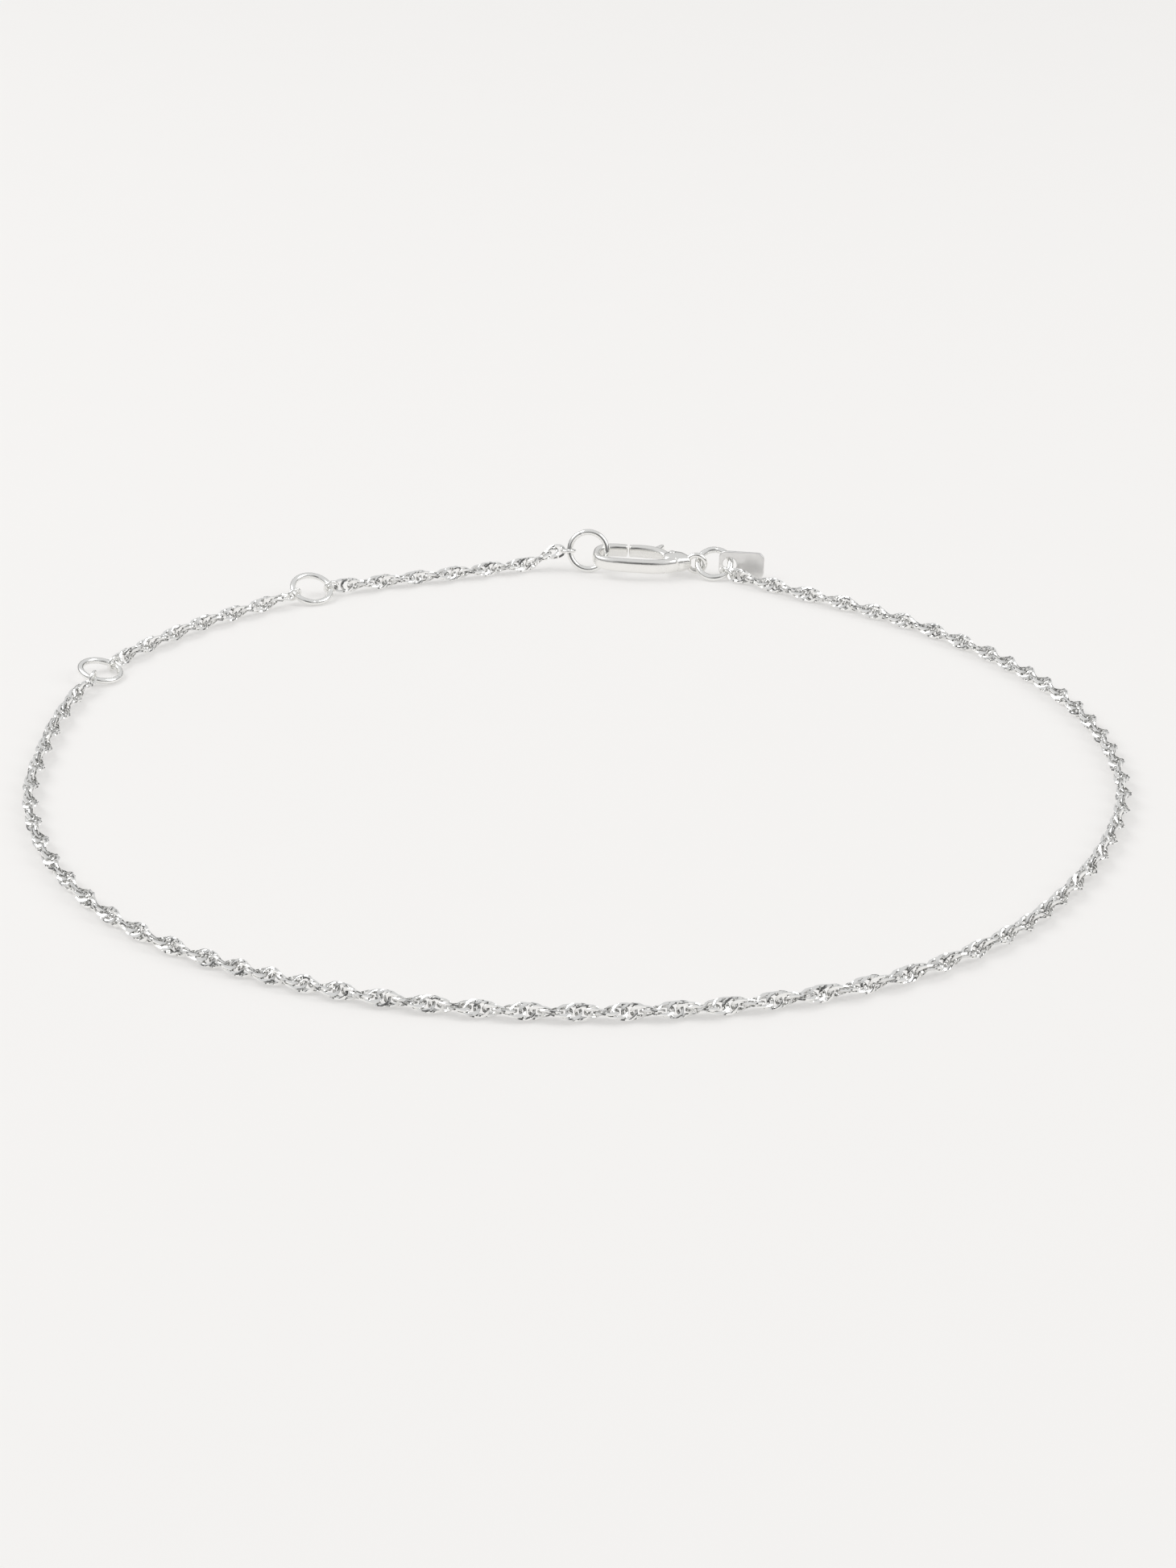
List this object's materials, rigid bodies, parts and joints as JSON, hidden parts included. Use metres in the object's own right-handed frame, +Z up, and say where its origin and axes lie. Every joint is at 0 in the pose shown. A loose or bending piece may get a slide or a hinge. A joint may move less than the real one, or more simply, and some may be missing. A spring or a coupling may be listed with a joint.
{
  "type": "chain anklet",
  "caption": "Twisted curb chain anklet closed in a loop, with plain extender rings, a sprung lobster clasp, a jump ring and a small blank tag.",
  "frame": {"origin": "middle of the loop on the surface that the anklet lies on", "axes": "+Z up from that surface; the clasp lies at the back, on the +Y side, with its nose towards -X; the front of the loop is on the -Y side"},
  "size_m": [0.0886, 0.089, 0.0039],
  "materials": {
    "bright_silver": "polished silver",
    "chain_silver": "bright silver with small cut facets"
  },
  "bodies": {
    "anklet": {"chain_main": "chain_silver", "chain_extender_a": "chain_silver", "chain_extender_b": "chain_silver", "end_link_main_clasp": "chain_silver", "end_link_main_ring": "chain_silver", "end_link_a_start": "chain_silver", "end_link_a_end": "chain_silver", "end_link_b_start": "chain_silver", "end_link_b_end": "chain_silver", "extender_ring_1": "bright_silver", "extender_ring_2": "bright_silver", "end_ring": "bright_silver", "jump_ring": "bright_silver", "clasp_body": "bright_silver", "clasp_pin": "bright_silver", "tag": "bright_silver"},
    "lever": {"clasp_lever": "bright_silver"}
  },
  "joints": [
    {"name": "lever_hinge", "type": "hinge", "parent": "anklet", "child": "lever", "pos_m": [0.0087, 0.04205, 0.00135], "axis": [0.036, -0.0564, 0.9978], "range_deg": [0, 28], "stiffness_Nm_per_rad": 0.002, "springref_deg": -5.73}
  ]
}
